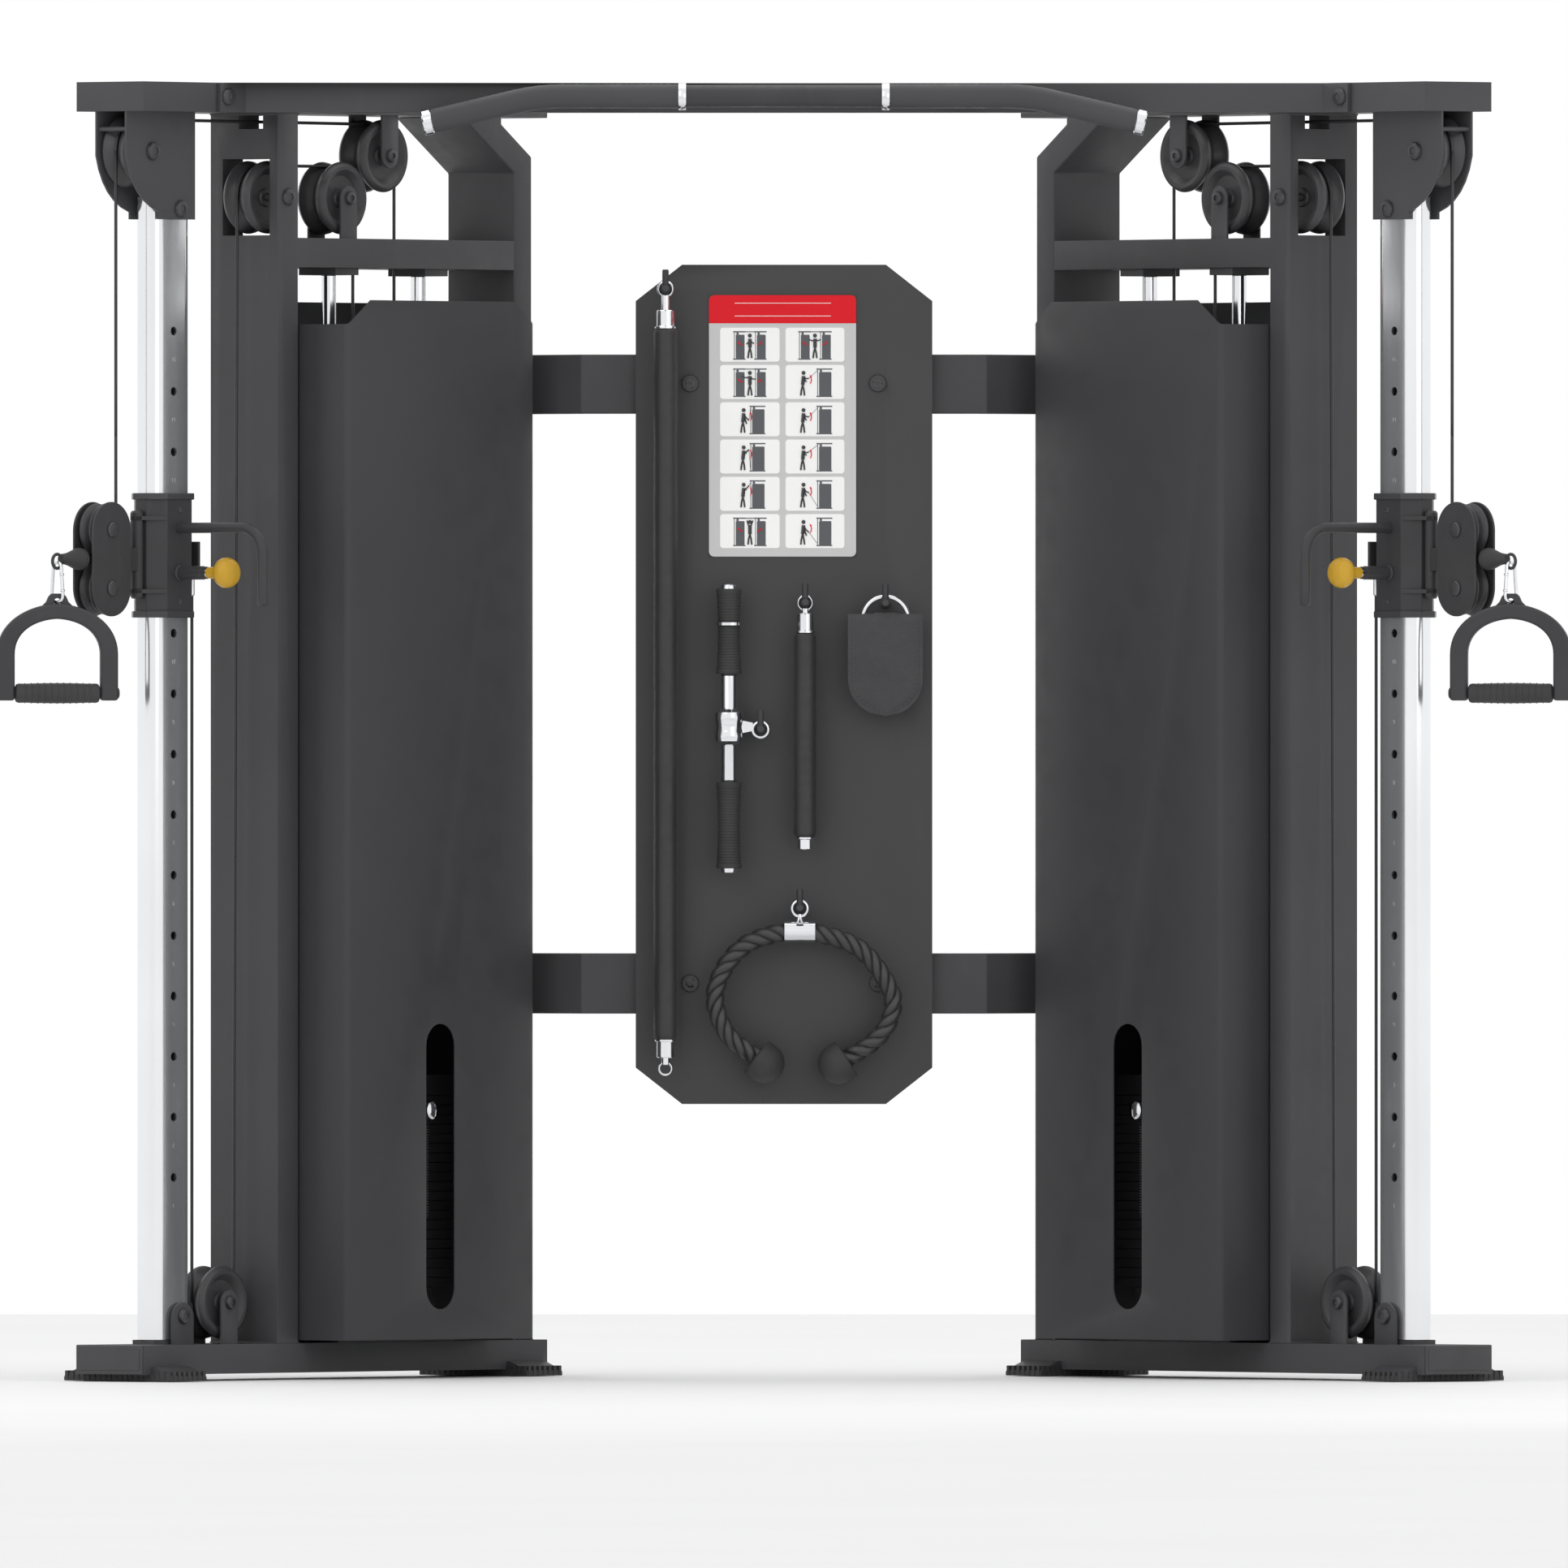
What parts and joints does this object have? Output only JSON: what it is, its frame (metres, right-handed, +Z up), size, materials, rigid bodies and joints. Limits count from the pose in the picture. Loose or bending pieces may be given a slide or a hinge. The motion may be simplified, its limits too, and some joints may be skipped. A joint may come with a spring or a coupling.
{
  "type": "cable crossover machine",
  "caption": "Two-tower cable trainer with weight stacks, sliding swivel pulleys, pull-up bar and accessory board",
  "frame": {"origin": "On the floor, at the middle of the footprint's bounding box", "axes": "+Z up, +X to the right seen from the front, the front faces -Y"},
  "size_m": [2.6648, 1.0054, 2.2],
  "materials": {
    "powder_coat": "satin charcoal powder coat",
    "satin_black": "satin black",
    "sheet_cover": "fine textured charcoal",
    "chrome": "polished",
    "black_nylon": "smooth moulded",
    "rubber": "matt foam rubber",
    "cast_iron": "painted",
    "yellow_plastic": "satin yellow",
    "steel_cord": "nylon coated wire rope",
    "webbing": "woven nylon",
    "rope_fibre": "laid nylon rope"
  },
  "bodies": {
    "frame": {"left_base_rail": "powder_coat", "left_top_rail": "powder_coat", "left_front_upright": "powder_coat", "left_rear_upright": "powder_coat", "left_column": "chrome", "left_inner_cover": "sheet_cover", "left_outer_cover": "sheet_cover", "left_guide_rods": "chrome", "left_lower_plates": "cast_iron", "left_cable": "steel_cord", "right_base_rail": "powder_coat", "right_top_rail": "powder_coat", "right_front_upright": "powder_coat", "right_rear_upright": "powder_coat", "right_column": "chrome", "right_inner_cover": "sheet_cover", "right_outer_cover": "sheet_cover", "right_guide_rods": "chrome", "right_lower_plates": "cast_iron", "right_cable": "steel_cord", "crossbeam": "powder_coat", "pull_up_bar": "powder_coat", "upper_link_beam": "powder_coat", "lower_link_beam": "powder_coat", "accessory_board": "powder_coat"},
    "left_carriage": {"left_carriage": "satin_black"},
    "left_pop_pin": {"left_pop_pin": "yellow_plastic"},
    "left_swivel": {"left_swivel_block": "satin_black", "left_ball_stop": "black_nylon"},
    "left_upper_block_pulley": {"left_upper_block_pulley": "black_nylon"},
    "left_lower_block_pulley": {"left_lower_block_pulley": "black_nylon"},
    "left_d_handle": {"left_d_handle": "black_nylon"},
    "left_stack": {"left_top_plates": "cast_iron"},
    "left_selector_pin": {"left_selector_pin": "chrome"},
    "left_top_pulley": {"left_top_pulley": "black_nylon"},
    "left_window_pulley": {"left_window_pulley": "black_nylon"},
    "left_idler_1": {"left_idler_1": "black_nylon"},
    "left_idler_2": {"left_idler_2": "black_nylon"},
    "left_base_pulley": {"left_base_pulley": "black_nylon"},
    "left_stack_pulley": {"left_stack_pulley": "black_nylon"},
    "right_carriage": {"right_carriage": "satin_black"},
    "right_pop_pin": {"right_pop_pin": "yellow_plastic"},
    "right_swivel": {"right_swivel_block": "satin_black", "right_ball_stop": "black_nylon"},
    "right_upper_block_pulley": {"right_upper_block_pulley": "black_nylon"},
    "right_lower_block_pulley": {"right_lower_block_pulley": "black_nylon"},
    "right_d_handle": {"right_d_handle": "black_nylon"},
    "right_stack": {"right_top_plates": "cast_iron"},
    "right_selector_pin": {"right_selector_pin": "chrome"},
    "right_top_pulley": {"right_top_pulley": "black_nylon"},
    "right_window_pulley": {"right_window_pulley": "black_nylon"},
    "right_idler_1": {"right_idler_1": "black_nylon"},
    "right_idler_2": {"right_idler_2": "black_nylon"},
    "right_base_pulley": {"right_base_pulley": "black_nylon"},
    "right_stack_pulley": {"right_stack_pulley": "black_nylon"},
    "long_bar": {"long_bar": "rubber"},
    "rotating_bar": {"rotating_bar": "chrome"},
    "short_bar": {"short_bar": "rubber"},
    "ankle_strap": {"ankle_strap": "webbing"},
    "tricep_rope": {"tricep_rope": "rope_fibre"}
  },
  "joints": [
    {"name": "left_carriage_slide", "type": "slide", "parent": "frame", "child": "left_carriage", "axis": [0, 0, 1], "range_m": [-1.0247, 0.41], "deforming": ["left_cable"]},
    {"name": "left_pop_pin_slide", "type": "slide", "parent": "left_carriage", "child": "left_pop_pin", "axis": [0.766, -0.6428, 0], "range_m": [0, 0.014], "stiffness_N_per_m": 900},
    {"name": "left_block_swivel", "type": "hinge", "parent": "left_carriage", "child": "left_swivel", "pos_m": [-1.09665, -0.31911, 1.3915], "axis": [0, 0, 1], "range_deg": [-55, 55]},
    {"name": "left_upper_block_pulley_spin", "type": "hinge", "parent": "left_swivel", "child": "left_upper_block_pulley", "pos_m": [-1.1545, -0.38806, 1.441], "axis": [0.766, -0.6428, 0], "continuous": true},
    {"name": "left_lower_block_pulley_spin", "type": "hinge", "parent": "left_swivel", "child": "left_lower_block_pulley", "pos_m": [-1.1545, -0.38806, 1.342], "axis": [0.766, -0.6428, 0], "continuous": true},
    {"name": "left_handle_swing", "type": "hinge", "parent": "left_swivel", "child": "left_d_handle", "pos_m": [-1.22874, -0.47653, 1.3858], "axis": [0.766, -0.6428, 0], "range_deg": [-70, 10]},
    {"name": "left_stack_lift", "type": "slide", "parent": "frame", "child": "left_stack", "axis": [0, 0, 1], "range_m": [0, 1.1]},
    {"name": "left_selector_pin_slide", "type": "slide", "parent": "left_stack", "child": "left_selector_pin", "axis": [-0.766, 0.6428, 0], "range_m": [-0.1, 0]},
    {"name": "left_top_pulley_spin", "type": "hinge", "parent": "frame", "child": "left_top_pulley", "pos_m": [-1.09665, -0.31911, 2.083], "axis": [0.766, -0.6428, 0], "continuous": true},
    {"name": "left_window_pulley_spin", "type": "hinge", "parent": "frame", "child": "left_window_pulley", "pos_m": [-0.89415, -0.09023, 2.008], "axis": [0.766, -0.6428, 0], "continuous": true},
    {"name": "left_idler_1_spin", "type": "hinge", "parent": "frame", "child": "left_idler_1", "pos_m": [-0.69969, 0.10885, 2.081], "axis": [0.766, -0.6428, 0], "continuous": true},
    {"name": "left_idler_2_spin", "type": "hinge", "parent": "frame", "child": "left_idler_2", "pos_m": [-0.76911, 0.02612, 2.008], "axis": [0.766, -0.6428, 0], "continuous": true},
    {"name": "left_base_pulley_spin", "type": "hinge", "parent": "frame", "child": "left_base_pulley", "pos_m": [-0.97002, -0.1682, 0.131], "axis": [0.766, -0.6428, 0], "continuous": true},
    {"name": "left_stack_pulley_spin", "type": "hinge", "parent": "left_stack", "child": "left_stack_pulley", "pos_m": [-0.69969, 0.10885, 0.595], "axis": [0.766, -0.6428, 0], "continuous": true},
    {"name": "right_carriage_slide", "type": "slide", "parent": "frame", "child": "right_carriage", "axis": [0, 0, 1], "range_m": [-1.0247, 0.41], "deforming": ["right_cable"]},
    {"name": "right_pop_pin_slide", "type": "slide", "parent": "right_carriage", "child": "right_pop_pin", "axis": [-0.766, -0.6428, 0], "range_m": [0, 0.014], "stiffness_N_per_m": 900},
    {"name": "right_block_swivel", "type": "hinge", "parent": "right_carriage", "child": "right_swivel", "pos_m": [1.09665, -0.31911, 1.3915], "axis": [0, 0, -1], "range_deg": [-55, 55]},
    {"name": "right_upper_block_pulley_spin", "type": "hinge", "parent": "right_swivel", "child": "right_upper_block_pulley", "pos_m": [1.1545, -0.38806, 1.441], "axis": [0.766, 0.6428, 0], "continuous": true},
    {"name": "right_lower_block_pulley_spin", "type": "hinge", "parent": "right_swivel", "child": "right_lower_block_pulley", "pos_m": [1.1545, -0.38806, 1.342], "axis": [0.766, 0.6428, 0], "continuous": true},
    {"name": "right_handle_swing", "type": "hinge", "parent": "right_swivel", "child": "right_d_handle", "pos_m": [1.22874, -0.47653, 1.3858], "axis": [0.766, 0.6428, 0], "range_deg": [-70, 10]},
    {"name": "right_stack_lift", "type": "slide", "parent": "frame", "child": "right_stack", "axis": [0, 0, 1], "range_m": [0, 1.1]},
    {"name": "right_selector_pin_slide", "type": "slide", "parent": "right_stack", "child": "right_selector_pin", "axis": [0.766, 0.6428, 0], "range_m": [-0.1, 0]},
    {"name": "right_top_pulley_spin", "type": "hinge", "parent": "frame", "child": "right_top_pulley", "pos_m": [1.09665, -0.31911, 2.083], "axis": [0.766, 0.6428, 0], "continuous": true},
    {"name": "right_window_pulley_spin", "type": "hinge", "parent": "frame", "child": "right_window_pulley", "pos_m": [0.89415, -0.09023, 2.008], "axis": [0.766, 0.6428, 0], "continuous": true},
    {"name": "right_idler_1_spin", "type": "hinge", "parent": "frame", "child": "right_idler_1", "pos_m": [0.69969, 0.10885, 2.081], "axis": [0.766, 0.6428, 0], "continuous": true},
    {"name": "right_idler_2_spin", "type": "hinge", "parent": "frame", "child": "right_idler_2", "pos_m": [0.76911, 0.02612, 2.008], "axis": [0.766, 0.6428, 0], "continuous": true},
    {"name": "right_base_pulley_spin", "type": "hinge", "parent": "frame", "child": "right_base_pulley", "pos_m": [0.97002, -0.1682, 0.131], "axis": [0.766, 0.6428, 0], "continuous": true},
    {"name": "right_stack_pulley_spin", "type": "hinge", "parent": "right_stack", "child": "right_stack_pulley", "pos_m": [0.69969, 0.10885, 0.595], "axis": [0.766, 0.6428, 0], "continuous": true},
    {"name": "long_bar_swing", "type": "hinge", "parent": "frame", "child": "long_bar", "pos_m": [-0.202, 0.16073, 1.856], "axis": [0, 1, 0], "range_deg": [-1.5, 8]},
    {"name": "rotating_bar_swing", "type": "hinge", "parent": "frame", "child": "rotating_bar", "pos_m": [-0.04, 0.16073, 1.105], "axis": [0, 1, 0], "range_deg": [-8, 8]},
    {"name": "short_bar_swing", "type": "hinge", "parent": "frame", "child": "short_bar", "pos_m": [0.036, 0.16073, 1.321], "axis": [0, 1, 0], "range_deg": [-6, 6]},
    {"name": "ankle_strap_swing", "type": "hinge", "parent": "frame", "child": "ankle_strap", "pos_m": [0.173, 0.16073, 1.32], "axis": [0, 1, 0], "range_deg": [-10, 10]},
    {"name": "tricep_rope_swing", "type": "hinge", "parent": "frame", "child": "tricep_rope", "pos_m": [0.027, 0.16073, 0.8], "axis": [0, 1, 0], "range_deg": [-8, 8]}
  ],
  "couplings": [
    {"joint": "left_top_pulley_spin", "follows": "left_stack_lift", "rad_per_m": 37.037},
    {"joint": "left_idler_1_spin", "follows": "left_stack_lift", "rad_per_m": 37.037},
    {"joint": "left_stack_pulley_spin", "follows": "left_stack_lift", "rad_per_m": 18.518},
    {"joint": "left_upper_block_pulley_spin", "follows": "left_stack_lift", "rad_per_m": -55.556},
    {"joint": "left_base_pulley_spin", "follows": "left_carriage_slide", "rad_per_m": -18.518},
    {"joint": "left_window_pulley_spin", "follows": "left_carriage_slide", "rad_per_m": 18.518},
    {"joint": "left_idler_2_spin", "follows": "left_carriage_slide", "rad_per_m": 18.518},
    {"joint": "right_top_pulley_spin", "follows": "right_stack_lift", "rad_per_m": 37.037},
    {"joint": "right_idler_1_spin", "follows": "right_stack_lift", "rad_per_m": 37.037},
    {"joint": "right_stack_pulley_spin", "follows": "right_stack_lift", "rad_per_m": 18.518},
    {"joint": "right_upper_block_pulley_spin", "follows": "right_stack_lift", "rad_per_m": -55.556},
    {"joint": "right_base_pulley_spin", "follows": "right_carriage_slide", "rad_per_m": -18.518},
    {"joint": "right_window_pulley_spin", "follows": "right_carriage_slide", "rad_per_m": 18.518},
    {"joint": "right_idler_2_spin", "follows": "right_carriage_slide", "rad_per_m": 18.518}
  ]
}
